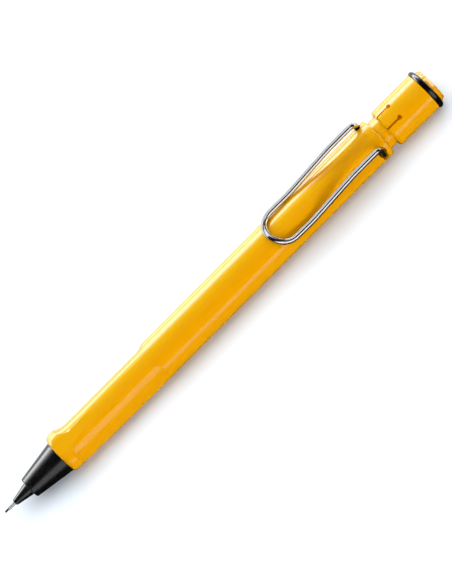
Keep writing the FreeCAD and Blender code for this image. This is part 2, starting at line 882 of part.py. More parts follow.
def clip_side_points(side):
    """The corners of one leg, from its hook to the turned end of the clip, in station coordinates."""
    leg = clip_leg_station.value()
    hook_end = (collar_bore_radius + size("clip_hook_gap")).value()
    spread = side * clip_leg_side.value()
    resting = size("barrel_radius").value() + size("clip_wire_radius").value() + size("clip_gap").value()
    touch_height = math.sqrt(resting**2 - spread**2)
    end_station = leg - size("clip_reach").value()
    end_bend = size("clip_end_bend").value() * math.tan(math.pi / 8)
    cut = abs(spread) - end_bend * BEND_MARGIN
    top = clip_top_height.value()
    fall_start = leg - size("clip_top_length").value()
    touch = fall_start - size("clip_fall_length").value()
    lift = resting - math.sqrt(resting**2 - (cut / 2) ** 2)
    return [
        Vector(leg, side * hook_end, size("clip_hook_height").value()),
        Vector(leg, spread, size("clip_hook_height").value()),
        Vector(leg, spread, top),
        Vector(fall_start, spread, top),
        Vector(touch, spread, touch_height),
        Vector(end_station + cut, spread, touch_height + lift * SIDE_RISE_SHARE),
        Vector(end_station, side * (abs(spread) - cut), resting + lift * END_RISE_SHARE),
    ]


def build_clip():
    """The clip: one wire from hook to hook, swept along its bent path."""
    bends = [
        size(name).value()
        for name in (
            "clip_hook_bend",
            "clip_top_bend",
            "clip_fall_bend",
            "clip_touch_bend",
            "clip_end_bend",
            "clip_end_bend",
        )
    ]
    points = clip_side_points(1) + clip_side_points(-1)[::-1]
    path = bent_wire_path(points, bends + bends[::-1])
    start = points[0]
    circle = Part.Circle(start, points[1] - start, size("clip_wire_radius").value())
    profile = Part.Wire([circle.toShape()])
    clip = doc.addObject("Part::Feature", "pocket_clip")
    clip.Label = "pocket_clip"
    clip.Shape = path.makePipeShell([profile], True, False)
    place(clip)
    return clip


def build_button():
    """The push button: skirt over the neck, hub on the tube, keyhole slits, seal groove and crown."""
    hub = size("tube_radius") + size("slip_clearance")
    skirt_rear = button_front + size("skirt_depth")
    ceiling = crown_end - size("crown_thickness")
    groove_half = size("seal_section_radius") + size("slip_clearance")
    seal_centre = seal_radius - size("seal_section_radius")
    crown_front = crown_end - size("crown_shoulder_length")
    crown_side = button_radius - size("crown_side_drop")
    outline = [
        (button_front, skirt_bore_radius),
        (skirt_rear, skirt_bore_radius),
        (skirt_rear, hub),
        (ceiling, hub),
        (ceiling, ZERO),
        (crown_end, ZERO),
        (crown_end, button_radius - size("crown_face_drop")),
        (crown_front, button_radius - size("crown_shoulder_drop")),
        (seal_station + size("crown_side_setback"), crown_side),
        (seal_station, crown_side),
        (seal_station, button_radius),
        (button_front, button_radius),
    ]
    body = new_body("push_button")
    revolve(body, "button_turned", outline)
    edge = circle_at(button_front, button_radius)
    round_edges(body, "skirt_edge", "Chamfer", size("button_edge"), edge)
    before = body.Shape.Volume
    section = new_sketch(body, "seal_groove", "XZ_Plane")
    add_circle(section, seal_station, seal_centre, groove_half)
    cut = add_feature(body, "PartDesign::Groove", "seal_groove_cut", section)
    cut.ReferenceAxis = (section, ["H_Axis"])
    cut.Angle = 360
    check_cut(body, before)
    cut_slits(body)
    return body


def cut_slits(body):
    """Keyhole slits through the skirt: one each side of the clip's plane, and the same pair opposite."""
    before = body.Shape.Volume
    half = size("slit_width") / 2
    eye = button_front + size("slit_eye_distance")
    corners = [
        (button_front - OVERRUN, ZERO - half),
        (eye, ZERO - half),
        (eye, half),
        (button_front - OVERRUN, half),
    ]
    cuts = []
    for name, side in (("left", 1), ("right", -1)):
        tilt = FreeCAD.Rotation(Vector(1, 0, 0), side * size("slit_angle").value())
        slit = new_sketch(body, f"{name}_slit", "XY_Plane")
        slit.AttachmentOffset = FreeCAD.Placement(Vector(0, 0, 0), tilt)
        add_outline(slit, corners)
        round_end = new_sketch(body, f"{name}_slit_eye", "XY_Plane")
        round_end.AttachmentOffset = FreeCAD.Placement(Vector(0, 0, 0), tilt)
        add_circle(round_end, eye, ZERO, size("slit_eye_radius"))
        for sketch in (slit, round_end):
            cut = add_feature(body, "PartDesign::Pocket", f"{sketch.Name}_cut", sketch)
            cut.Reversed = True
            cut.setExpression("Length", button_radius + OVERRUN)
            check_cut(body, before)
            cuts.append(cut)
    ring = body.newObject("PartDesign::PolarPattern", "opposite_slits")
    ring.Originals = cuts
    axis = [f for f in body.Origin.OriginFeatures if f.Role == "X_Axis"][0]
    ring.Axis = (axis, [""])
    ring.Angle = 360
    ring.Occurrences = 2
    body.Tip = ring
    check_cut(body, before)


def build_seal():
    body = new_body("button_ring")
    section = new_sketch(body, "seal_section", "XZ_Plane")
    centre = seal_radius - size("seal_section_radius")
    add_circle(section, seal_station, centre, size("seal_section_radius"))
    feature = add_feature(body, "PartDesign::Revolution", "seal_moulded", section)
    feature.ReferenceAxis = (section, ["H_Axis"])
    feature.Angle = 360
    return body


def build_holder():
    """The eraser's cup: a floor that holds the needle, a thin wall, and a flange on the tube's end."""
    floor = holder_front + size("holder_floor")
    needle = size("needle_radius") + size("slip_clearance")
    rear = holder_flange_front + size("holder_flange_length")
    flange = size("tube_radius") - size("holder_flange_inset")
    outline = [
        (holder_front, needle),
        (floor, needle),
        (floor, holder_bore_radius),
        (rear, holder_bore_radius),
        (rear, flange),
        (holder_flange_front, flange),
        (holder_flange_front, holder_radius),
        (holder_front, holder_radius),
    ]
    body = new_body("eraser_holder")
    revolve(body, "holder_drawn", outline)
    return body


def build_eraser():
    front = holder_front + size("holder_floor") + size("seat_gap")
    radius = eraser_radius
    body = new_body("eraser")
    outline = [(front, ZERO), (eraser_rear, ZERO), (eraser_rear, radius), (front, radius)]
    revolve(body, "eraser_cut", outline)
    edge = circle_at(eraser_rear, radius)
    round_edges(body, "eraser_edge", "Fillet", size("eraser_edge"), edge)
    return body


def build_needle():
    rear = holder_front + size("needle_seat_length")
    front = rear - size("needle_length")
    radius = size("needle_radius")
    body = new_body("cleaning_needle")
    outline = [(front, ZERO), (rear, ZERO), (rear, radius), (front, radius)]
    revolve(body, "needle_drawn", outline)
    return body


def build_all():
    parts = [
        build_lead(),
        build_spare_leads(),
        build_pipe(),
        build_nozzle(),
        build_retainer(),
        build_cone(),
        build_chuck_shank(),
        build_clutch_ring(),
        build_sleeve(),
        build_spring(),
        build_connector(),
        build_tube(),
        build_barrel(),
        build_collar(),
        build_clip(),
        build_button(),
        build_seal(),
        build_holder(),
        build_eraser(),
        build_needle(),
    ]
    parts += [build_jaw(number + 1) for number in range(JAW_COUNT)]
    doc.recompute()
    return parts


def check(parts):
    """Raise if any object failed, or any part's shape is empty or invalid."""
    for item in doc.Objects:
        if "Invalid" in item.State or "Error" in item.State:
            raise RuntimeError(f"{item.Name} failed: {item.State}")
    for part in parts:
        if part.Shape.isNull() or not part.Shape.isValid() or not part.Shape.Solids:
            raise RuntimeError(f"{part.Label} has no valid solid")


def export(parts):
    os.makedirs("parts", exist_ok=True)
    for part in parts:
        part.Shape.exportStep(os.path.join("parts", f"{part.Label}.step"))
        box = part.Shape.BoundBox
        print(f"{part.Label}: {part.Shape.Volume:.2f} mm3, x {box.XMin:.2f} to {box.XMax:.2f}")


pieces = build_all()
check(pieces)
export(pieces)
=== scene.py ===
"""Dresses a push-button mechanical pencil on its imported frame, and lights it on a pale floor."""

import json
import logging
import math
from dataclasses import dataclass
from enum import Enum

import bpy
from mathutils import Matrix, Vector


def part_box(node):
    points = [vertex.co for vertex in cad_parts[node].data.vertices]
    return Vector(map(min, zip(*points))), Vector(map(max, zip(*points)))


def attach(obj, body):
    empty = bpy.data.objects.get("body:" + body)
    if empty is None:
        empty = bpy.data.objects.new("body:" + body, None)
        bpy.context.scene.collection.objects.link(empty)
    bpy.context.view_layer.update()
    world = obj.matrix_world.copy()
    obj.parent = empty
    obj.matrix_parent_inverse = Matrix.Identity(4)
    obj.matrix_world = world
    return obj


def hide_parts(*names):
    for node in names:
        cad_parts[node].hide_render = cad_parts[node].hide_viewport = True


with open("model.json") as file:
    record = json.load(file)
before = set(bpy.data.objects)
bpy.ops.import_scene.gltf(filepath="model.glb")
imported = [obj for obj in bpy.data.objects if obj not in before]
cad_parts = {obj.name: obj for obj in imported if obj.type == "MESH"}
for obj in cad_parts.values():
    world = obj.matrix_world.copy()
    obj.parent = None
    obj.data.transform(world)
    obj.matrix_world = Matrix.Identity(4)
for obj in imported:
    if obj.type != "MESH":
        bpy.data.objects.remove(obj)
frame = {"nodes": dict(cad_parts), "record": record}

LOG = logging.getLogger("mechanical_pencil")
MM = 0.001
AXIS_HEIGHT = 0.0055
# Angles between faces: shaded smooth below the first, rounded above the others.
SMOOTH_BELOW = math.radians(50)
TURNED_CORNER = math.radians(32)
CUT_CORNER = 0.9
Colour = tuple[float, float, float]
Edges = tuple[float, float, float, float]

# Where the cap's painted glow begins, is full, begins to fade and is gone, in metres: off the axis,
# then along it.
CAP_WALL: Edges = (0.00412, 0.00418, 0.00500, 0.00506)
CAP_SKIRT: Edges = (0.05545, 0.05550, 0.06190, 0.06200)
# The clip's two holes, in metres, and how far from them the painted shade round them begins and is
# full.
HOOK_ALONG = 0.0505
HOOK_ACROSS = 0.0044
HOOK_UNDERSIDE = (0.0077, 0.0074)
HOOK_SHADE = (0.00112, 0.00100)
# How squarely drawn metal faces SQUARE_ON where the painted shade on its sides begins and where it
# is darkest.
PAINTED_SIDE_SHADE = (0.62, 0.22)
SQUARE_ON = (0.0, -0.326, 0.946)


class Value:
    """A number at a socket: +, - and * on it add Math nodes to its tree."""

    def __init__(self, tree: bpy.types.NodeTree, socket: bpy.types.NodeSocket) -> None:
        """Keep the socket.

        Args:
            tree: the node tree that the socket is in.
            socket: the output that gives the number.
        """
        self.tree = tree
        self.socket = socket

    def _maths(self, operation: str, first: "Value | float", second: "Value | float") -> "Value":
        """Add one Math node.

        Args:
            operation: what the node does.
            first: a Value or a number.
            second: a Value or a number.

        Returns:
            The node's result.
        """
        node = self.tree.nodes.new("ShaderNodeMath")
        node.operation = operation
        for number, term in enumerate((first, second)):
            if isinstance(term, Value):
                self.tree.links.new(term.socket, node.inputs[number])
            else:
                node.inputs[number].default_value = term
        return Value(self.tree, node.outputs[0])

    def __add__(self, other: "Value | float") -> "Value":
        """This plus other."""
        return self._maths("ADD", self, other)

    def __radd__(self, other: "Value | float") -> "Value":
        """Other plus this."""
        return self._maths("ADD", other, self)

    def __sub__(self, other: "Value | float") -> "Value":
        """This minus other."""
        return self._maths("SUBTRACT", self, other)

    def __rsub__(self, other: "Value | float") -> "Value":
        """Other minus this."""
        return self._maths("SUBTRACT", other, self)

    def __mul__(self, other: "Value | float") -> "Value":
        """This times other."""
        return self._maths("MULTIPLY", self, other)

    def __rmul__(self, other: "Value | float") -> "Value":
        """Other times this."""
        return self._maths("MULTIPLY", other, self)

    def size(self) -> "Value":
        """This without its sign."""
        return self._maths("ABSOLUTE", self, 0.0)

    def root(self) -> "Value":
        """The square root of this."""
        return self._maths("SQRT", self, 0.0)


class Shader:
    """A material's node tree while it is being put together."""

    def __init__(self, name: str) -> None:
        """Start a material with one Principled shader.

        Args:
            name: the material's name.
        """
        self.material = bpy.data.materials.new(name)
        self.material.use_nodes = True
        self.tree = self.material.node_tree
        self.surface = self.tree.nodes["Principled BSDF"]
        self.place = self.node("ShaderNodeTexCoord").outputs["Object"]

    def node(
        self,
        kind: str,
        settings: dict[str, object] | None = None,
        sockets: dict[str | int, object] | None = None,
    ) -> bpy.types.Node:
        """Add a node, set it up and fill its sockets.

        Args:
            kind: the node's type.
            settings: its properties, set first.
            sockets: a value, a Value or an output for each named or numbered input.

        Returns:
            The node.
        """
        node = self.tree.nodes.new(kind)
        for name, setting in (settings or {}).items():
            setattr(node, name, setting)
        for name, value in (sockets or {}).items():
            self.feed(node.inputs[name], value)
        return node

    def feed(self, socket: bpy.types.NodeSocket, value: object) -> None:
        """Give a socket its value or its link.

        Args:
            socket: the input.
            value: a Value, an output, a number or a tuple.
        """
        if isinstance(value, Value):
            self.tree.links.new(value.socket, socket)
        elif isinstance(value, bpy.types.NodeSocket):
            self.tree.links.new(value, socket)
        else:
            socket.default_value = value

    def value(self, socket: bpy.types.NodeSocket) -> Value:
        """The socket as a Value."""
        return Value(self.tree, socket)

    def turned(
        self,
        stretch: tuple[float, float, float],
        centre: Vector | None = None,
    ) -> bpy.types.NodeSocket:
        """The piece's own coordinates, moved and stretched.

        Args:
            stretch: the scale along each axis.
            centre: the point that becomes the origin, in metres.

        Returns:
            The coordinates.
        """
        shift = tuple(-s * c for s, c in zip(stretch, centre or Vector()))
        sockets = {"Vector": self.place, "Location": shift, "Scale": stretch}
        mapping = self.node("ShaderNodeMapping", {}, sockets)
        return mapping.outputs["Vector"]

    def off_axis(self) -> Value:
        """How far a point is from the pencil's axis, in metres."""
        across = self.turned((0.0, 1.0, 1.0), Vector((0.0, 0.0, AXIS_HEIGHT)))
        length = self.node("ShaderNodeVectorMath", {"operation": "LENGTH"}, {0: across})
        return self.value(length.outputs["Value"])

    def along(self) -> Value:
        """How far along the pencil a point is, in metres from its middle."""
        parts = self.node("ShaderNodeSeparateXYZ", {}, {"Vector": self.place})
        return self.value(parts.outputs["X"])

    def off_hooks(self) -> Value:
        """How far a point is from the nearer clip hole, in metres, plus 1 low on the side."""
        place = self.node("ShaderNodeSeparateXYZ", {}, {"Vector": self.place})
        along = self.value(place.outputs["X"]) - HOOK_ALONG
        across = self.value(place.outputs["Y"]).size() - HOOK_ACROSS
        low = self.ramp(self.value(place.outputs["Z"]), *HOOK_UNDERSIDE)
        return (along * along + across * across).root() + low

    def lean(self) -> Value:
        """How squarely a surface faces up and a little to the front, 1 at most."""
        normal = self.node("ShaderNodeTexCoord").outputs["Normal"]
        sockets = {0: normal, 1: SQUARE_ON}
        dot = self.node("ShaderNodeVectorMath", {"operation": "DOT_PRODUCT"}, sockets)
        return self.value(dot.outputs["Value"]).size()

    def noise(
        self,
        scale: float,
        detail: float = 2.0,
        at: bpy.types.NodeSocket | None = None,
    ) -> Value:
        """Cloudy noise around 0.5.

        Args:
            scale: how many clouds to the metre.
            detail: how many finer layers.
            at: the coordinates, or the piece's own.

        Returns:
            The noise.
        """
        settings = {"noise_dimensions": "3D"}
        sockets = {"Vector": at or self.place, "Scale": scale, "Detail": detail}
        return self.value(self.node("ShaderNodeTexNoise", settings, sockets).outputs["Fac"])

    def ramp(self, value: Value, low: float, high: float) -> Value:
        """A value stretched from low..high to 0..1 and held inside.

        Args:
            value: what is stretched.
            low: what becomes 0.
            high: what becomes 1.

        Returns:
            The stretched value.
        """
        sockets = {"Value": value, "From Min": low, "From Max": high}
        stretched = self.node("ShaderNodeMapRange", {"clamp": True}, sockets)
        return self.value(stretched.outputs["Result"])

    def between(self, value: Value, edges: Edges) -> Value:
        """1 between the middle two edges, fading to 0 at the outer two.

        Args:
            value: what is looked at.
            edges: the four places, in order.

        Returns:
            The share.
        """
        return self.ramp(value, edges[0], edges[1]) * self.ramp(value, edges[3], edges[2])

    def blend(
        self,
        share: Value,
        first: Colour | bpy.types.NodeSocket,
        second: Colour | bpy.types.NodeSocket,
    ) -> bpy.types.NodeSocket:
        """Mix two colours.

        Args:
            share: how much of the second.
            first: the colour at 0, or a socket that gives it.
            second: the colour at 1, or a socket that gives it.

        Returns:
            The mixed colour.
        """
        node = self.tree.nodes.new("ShaderNodeMix")
        node.data_type = "RGBA"
        self.feed(node.inputs[0], share)
        inputs = [s for s in node.inputs if s.type == "RGBA"]
        for socket, colour in zip(inputs, (first, second)):
            self.feed(socket, (*colour, 1.0) if isinstance(colour, tuple) else colour)
        return [s for s in node.outputs if s.type == "RGBA"][0]

    def bump(self, height: Value, depth: float, strength: float = 1.0) -> None:
        """Raise the surface by a height.

        Args:
            height: the pattern, 0 to 1.
            depth: how far 1 stands up, in metres.
            strength: how much of the effect shows.
        """
        sockets = {"Height": height, "Distance": depth, "Strength": strength}
        bump = self.node("ShaderNodeBump", {}, sockets)
        self.feed(self.surface.inputs["Normal"], bump.outputs["Normal"])

    def finish(self, sockets: dict[str, object]) -> bpy.types.Material:
        """Fill the surface's sockets and hand the material over.

        Args:
            sockets: what each named input of the surface gets.

        Returns:
            The material.
        """
        for name, value in sockets.items():
            self.feed(self.surface.inputs[name], value)
        return self.material


@dataclass(frozen=True)
class GlossPlastic:
    """Polished moulded plastic: a clear skin with slight orange peel, smears and fine scratches;
    painted shade round the clip's holes and a painted glow in the cap's slits.
    """

    name: str
    colour: Colour
    deep: Colour
    roughness: float = 0.07
    peel: float = 0.0000011
    hole_shade: float = 0.04
    painted_glow: Colour = (0.0, 0.0, 0.0)
    flow_scale: float = 90.0
    smear_scale: float = 420.0
    scratch_scale: float = 2600.0
    peel_scale: float = 1500.0
    scratch_height: float = 0.10
    smear_rough: float = 0.05
    scratch_rough: float = 0.04

    def painted_slit_glow(self, shader: Shader) -> bpy.types.NodeSocket:
        """A painted glow: an emission colour inside the cap's slits that stands in for light
        through its wall.

        Args:
            shader: the material in the making.

        Returns:
            The colour that it adds.
        """
        wall = shader.between(shader.off_axis(), CAP_WALL)
        skirt = shader.between(shader.along(), CAP_SKIRT)
        return shader.blend(wall * skirt, (0.0, 0.0, 0.0), self.painted_glow)

    def material(self) -> bpy.types.Material:
        """The finish as a material."""
        shader = Shader(self.name)
        flow = shader.noise(self.flow_scale, 3.0, shader.turned((0.25, 1.0, 1.0)))
        smears = shader.ramp(shader.noise(self.smear_scale, 4.0), 0.52, 0.75)
        fine = shader.noise(self.scratch_scale, 2.0, shader.turned((0.06, 1.0, 1.0)))
        scratches = shader.ramp(fine, 0.62, 0.72)
        shader.bump(shader.noise(self.peel_scale, 1.0) + scratches * self.scratch_height, self.peel)
        plain = shader.blend(shader.ramp(flow, 0.3, 0.7), self.deep, self.colour)
        # Painted shade: the colour darkens to a dim copy of the deep colour round the clip's holes,
        # where shade falls.
        shade = shader.ramp(shader.off_hooks(), *HOOK_SHADE)
        painted_hole_colour = tuple(part * self.hole_shade for part in self.deep)
        handled = smears * self.smear_rough + scratches * self.scratch_rough
        return shader.finish(
            {
                "Base Color": shader.blend(shade, plain, painted_hole_colour),
                "Roughness": handled + self.roughness,
                # Painted glow: an emission colour inside the cap's slits; the plastic is no lamp.
                "Emission Color": self.painted_slit_glow(shader),
                "Emission Strength": 1.0,
                "IOR": 1.5,
            }
        )


@dataclass(frozen=True)
class SatinPlastic:
    """Moulded plastic with a fine eroded grain."""

    name: str
    colour: Colour
    pale: Colour
    roughness: float = 0.33
    grain: float = 0.000004
    grain_scale: float = 9000.0
    wear_scale: float = 500.0
    grain_rough: float = 0.10
    wear_rough: float = 0.05

    def material(self) -> bpy.types.Material:
        """The finish as a material."""
        shader = Shader(self.name)
        grain = shader.noise(self.grain_scale, 2.0)
        wear = shader.ramp(shader.noise(self.wear_scale, 3.0), 0.5, 0.8)
        shader.bump(grain, self.grain, strength=0.5)
        even = self.roughness - self.grain_rough / 2
        return shader.finish(
            {
                "Base Color": shader.blend(wear, self.colour, self.pale),
                "Roughness": grain * self.grain_rough + wear * self.wear_rough + even,
                "IOR": 1.5,
            }
        )


@dataclass(frozen=True)
class DrawnMetal:
    """Bright metal with fine drawing or turning lines, light smudges and, on some, painted shade
    along the sides.
    """

    name: str
    colour: Colour
    smudge_and_shade: Colour
    roughness: float = 0.12
    sides: float = 1.0
    lines: tuple[float, float, float] = (0.05, 1.0, 1.0)
    line_scale: float = 7000.0
    line_depth: float = 0.0000006
    smudge_scale: float = 350.0
    line_rough: float = 0.06
    smudge_rough: float = 0.05

    def material(self) -> bpy.types.Material:
        """The finish as a material."""
        shader = Shader(self.name)
        lines = shader.noise(self.line_scale, 2.0, shader.turned(self.lines))
        smudges = shader.ramp(shader.noise(self.smudge_scale, 3.0), 0.45, 0.75)
        shader.bump(lines, self.line_depth, strength=0.5)
        plain = shader.blend(smudges, self.colour, self.smudge_and_shade)
        # Painted shade: faces that turn away from SQUARE_ON take the smudge colour scaled by sides,
        # so the sides read darker.
        edge = tuple(part * self.sides for part in self.smudge_and_shade)
        even = self.roughness - self.line_rough / 2
        return shader.finish(
            {
                "Base Color": shader.blend(shader.ramp(shader.lean(), *PAINTED_SIDE_SHADE), plain, edge),
                "Metallic": 1.0,
                "Roughness": lines * self.line_rough + smudges * self.smudge_rough + even,
            }
        )


@dataclass(frozen=True)
class Rubber:
    """Soft rubber with a powdery bloom."""

    name: str
    colour: Colour
    bloom: Colour
    roughness: float = 0.35
    bloom_scale: float = 700.0
    pore_scale: float = 6000.0
    pore_depth: float = 0.000004
    bloom_rough: float = 0.12
    pore_rough: float = 0.06

    def material(self) -> bpy.types.Material:
        """The finish as a material."""
        shader = Shader(self.name)
        cloud = shader.ramp(shader.noise(self.bloom_scale, 4.0), 0.45, 0.8)
        pores = shader.noise(self.pore_scale, 2.0)
        shader.bump(pores, self.pore_depth, strength=0.5)
        even = self.roughness - self.pore_rough / 2
        return shader.finish(
            {
                "Base Color": shader.blend(cloud, self.colour, self.bloom),
                "Roughness": cloud * self.bloom_rough + pores * self.pore_rough + even,
                "IOR": 1.52,
            }
        )


class Finishes:
    """Every finish of the pencil, by the record's slot names."""

    def __init__(self) -> None:
        """Make each finish's material once."""
        made = [
            GlossPlastic(
                "yellow_plastic",
                (0.56, 0.240, 0.0),
                (0.54, 0.230, 0.0),
                # Painted glow: the orange emission colour inside the cap's slits.
                painted_glow=(0.27, 0.07, 0.0),
            ),
            SatinPlastic("black_satin", (0.0022, 0.0022, 0.0024), (0.004, 0.004, 0.004), 0.25),
            GlossPlastic("black_gloss", (0.006, 0.006, 0.0065), (0.004, 0.004, 0.004), 0.14),
            DrawnMetal("clip_wire", (0.88, 0.88, 0.89), (0.80, 0.80, 0.82), 0.17, 0.3),
            Rubber("ring_rubber", (0.0022, 0.0020, 0.0022), (0.006, 0.0055, 0.006), 0.15),
            Rubber("brake_rubber", (0.05, 0.05, 0.055), (0.08, 0.08, 0.08), 0.6),
            DrawnMetal("pipe_steel", (0.88, 0.88, 0.89), (0.75, 0.75, 0.76), 0.14, 0.15),
            DrawnMetal("spring_steel", (0.55, 0.55, 0.56), (0.42, 0.42, 0.43), 0.22),
            DrawnMetal("graphite", (0.09, 0.09, 0.095), (0.05, 0.05, 0.055), 0.38),
            DrawnMetal(
                "chuck_brass",
                (0.83, 0.62, 0.25),
                (0.62, 0.44, 0.18),
                0.20,
                lines=(1.0, 0.1, 0.1),
            ),
            SatinPlastic("mechanism_plastic", (0.03, 0.03, 0.032), (0.05, 0.05, 0.05)),
            SatinPlastic("tube_plastic", (0.62, 0.64, 0.64), (0.70, 0.71, 0.71), 0.28),
            Rubber("eraser_rubber", (0.80, 0.79, 0.76), (0.86, 0.85, 0.83), 0.75),
            DrawnMetal("holder_metal", (0.70, 0.70, 0.71), (0.58, 0.58, 0.6), 0.22),
        ]
        self.by_slot = {finish.name: finish.material() for finish in made}

    def dress(self, piece: bpy.types.Object, slot: str) -> None:
        """Give a piece its finish.

        Args:
            piece: a new piece or a CAD node.
            slot: the slot's name in the record.
        """
        piece.data.materials.clear()
        piece.data.materials.append(self.by_slot[slot])


class Seen(Enum):
    """What a lamp's light shows in."""

    SURFACE = "surface"
    GLOSS = "gloss"


class Group(Enum):
    """The pieces that a lamp can be kept to, by their slots."""

    YELLOW = ("yellow_plastic",)
    METAL = ("clip_wire", "pipe_steel", "graphite")
    REST = ()

    @classmethod
    def of(cls, piece: bpy.types.Object) -> "Group":
        """The group that a piece belongs to."""
        slot = piece.data.materials[0].name.split(".")[0]
        return next((group for group in cls if slot in group.value), cls.REST)


@dataclass(frozen=True)
class Lamp:
    """A rectangular lamp that faces the pencil's middle; 1 is as bright as white paper."""

    name: str
    place: tuple[float, float, float]
    size: tuple[float, float]
    brightness: float
    seen: Seen
    groups: tuple[Group, ...] = ()
    colour: Colour = (1.0, 1.0, 1.0)

    def hang(self, pieces: list[bpy.types.Object]) -> None:
        """Make the lamp and keep it to its groups.

        Args:
            pieces: every piece of the pencil.
        """
        bpy.ops.object.light_add(type="AREA", location=self.place)
        lamp = bpy.context.object
        lamp.name = self.name
        lamp.data.shape = "RECTANGLE"
        lamp.data.size, lamp.data.size_y = self.size
        lamp.data.energy = self.brightness * math.pi * self.size[0] * self.size[1]
        lamp.data.color = self.colour
        back = Vector(self.place).normalized()
        across = Vector((1, 0, 0)) if abs(back.x) < 0.5 else Vector((0, 1, 0))
        side = (across - back * across.dot(back)).normalized()
        lamp.rotation_euler = Matrix((side, back.cross(side), back)).transposed().to_euler()
        lamp.visible_camera = False
        lamp.visible_glossy = self.seen is Seen.GLOSS
        lamp.visible_diffuse = self.seen is Seen.SURFACE
        if self.groups:
            lit = bpy.data.collections.new(self.name)
            for piece in pieces:
                if Group.of(piece) in self.groups:
                    lit.objects.link(piece)
            lamp.light_linking.receiver_collection = lit


@dataclass
class Studio:
    """The floor, the lights, the world and the camera."""

    lean: float = math.radians(19.0)
    turn: float = math.radians(45.18)
    distance: float = 0.765
    lens: float = 203.5
    sensor: float = 36.0
    nearest: float = 0.01
    aim: tuple[float, float] = (2.25 * MM, 0.28 * MM)
    floor_size: float = 12.0
    floor_colour: Colour = (0.80, 0.865, 0.92)
    card_size: tuple[float, float] = (2.0, 0.6)
    card_middle: tuple[float, float, float] = (0.0, -0.302, 0.0001)
    backdrop: float = 0.95
    fill: float = 0.28
    glint: float = 0.005
    sky: Colour = (0.95, 0.97, 1.03)

    def sideways(self) -> Vector:
        """The direction across the pencil, towards the camera's lower right."""
        return Vector((0.0, -math.cos(self.lean), -math.sin(self.lean)))

    def towards(self) -> Vector:
        """The direction from the pencil to the camera."""
        return Vector((0.0, -math.sin(self.lean), math.cos(self.lean)))

    def camera(self, axis_height: float) -> None:
        """Set the camera above the pencil.

        Args:
            axis_height: how high the pencil's axis lies, in metres.
        """
        along, across = self.aim
        target = Vector((along, 0.0, axis_height)) + self.sideways() * across
        right = Vector((math.cos(self.turn), 0, 0)) + self.sideways() * math.sin(self.turn)
        up = Vector((math.sin(self.turn), 0, 0)) - self.sideways() * math.cos(self.turn)
        bpy.ops.object.camera_add(location=target + self.towards() * self.distance)
        camera = bpy.context.object
        axes = Matrix((right, up, self.towards())).transposed()
        camera.rotation_euler = axes.to_euler()
        camera.data.lens = self.lens
        camera.data.sensor_width = self.sensor
        camera.data.sensor_fit = "AUTO"
        camera.data.clip_start = self.nearest
        bpy.context.scene.camera = camera

    def floor(self) -> None:
        """Lay the pale floor, and the dark card that only reflections see."""
        bpy.ops.mesh.primitive_plane_add(size=self.floor_size, location=(0, 0, 0))
        floor = bpy.context.object
        floor.name = "floor"
        pale = (*self.floor_colour, 1.0)
        matt = {"Base Color": pale, "Roughness": 0.9, "Specular IOR Level": 0.1}
        floor.data.materials.append(Shader("pale_floor").finish(matt))
        bpy.ops.mesh.primitive_plane_add(size=1.0, location=(0, 0, 0))
        card = bpy.context.object
        card.name = "dark_card"
        spread = Matrix.Diagonal((*self.card_size, 1.0, 1.0))
        card.data.transform(Matrix.Translation(self.card_middle) @ spread)
        dark = {"Base Color": (0.01, 0.01, 0.01, 1.0), "Roughness": 1.0}
        card.data.materials.append(Shader("dark_card").finish(dark))
        card.visible_camera = card.visible_diffuse = False
        card.visible_shadow = card.visible_transmission = False

    def lights(self) -> None:
        """Hang the lamps round the pencil, with nothing bright straight above it."""
        pieces = [piece for piece in bpy.context.scene.objects if piece.type == "MESH"]
        gloss, surface = Seen.GLOSS, Seen.SURFACE
        plastic = (Group.YELLOW, Group.REST)
        yellow, metal, rest = (Group.YELLOW,), (Group.METAL,), (Group.REST,)
        for lamp in (
            Lamp("window", (0, 0.9, 0.24), (2.4, 0.46), 9.0, gloss, plastic),
            Lamp("window_edge", (0, 0.80, 0.52), (2.4, 0.20), 2.4, gloss, plastic),
            Lamp("window_fade", (0, 0.68, 0.70), (2.4, 0.22), 0.7, gloss, yellow, (1.0, 1.0, 0.4)),
            Lamp("end_window", (0.88, 0.1, 0.45), (0.9, 0.5), 8.0, gloss, yellow),
            Lamp("strip", (0, -0.9, 0.24), (2.4, 0.36), 1.1, gloss, yellow),
            Lamp("cone_strip", (0, -0.92, 0.45), (2.4, 0.86), 1.5, gloss, rest),
            Lamp("cone_low", (0, 0.9, 0.10), (2.4, 0.18), 8.0, gloss, rest),
            Lamp("cone_fade", (0, 0.70, 0.72), (2.4, 0.22), 0.9, gloss, rest),
            Lamp("metal_window", (0, 0.93, 0.248), (2.4, 0.46), 0.85, gloss, metal),
            Lamp("far_ceiling", (0, 0.46, 0.86), (2.4, 0.56), 0.95, gloss, metal),
            Lamp("near_ceiling", (0, -0.80, 0.60), (2.4, 0.44), 1.05, gloss, metal),
            Lamp("metal_strip", (0, -0.93, 0.248), (2.4, 0.36), 1.0, gloss, metal),
            Lamp("high_side", (0, 0.31, 0.95), (1.8, 1.1), 2.75, surface),
            Lamp("far_side", (0, 0.97, 0.26), (1.6, 0.3), 16.0, surface, yellow, (0.50, 1.0, 0.9)),
            Lamp("low_strip", (0, 0.015, 0.0055), (0.3, 0.0045), 3.6, gloss, yellow),
            Lamp("near_fill", (0, -0.95, 0.26), (1.6, 0.3), 1.4, surface, yellow),
            Lamp("near_side", (0, -0.98, 0.2), (1.6, 0.3), 7.6, surface),
        ):
            lamp.hang(pieces)

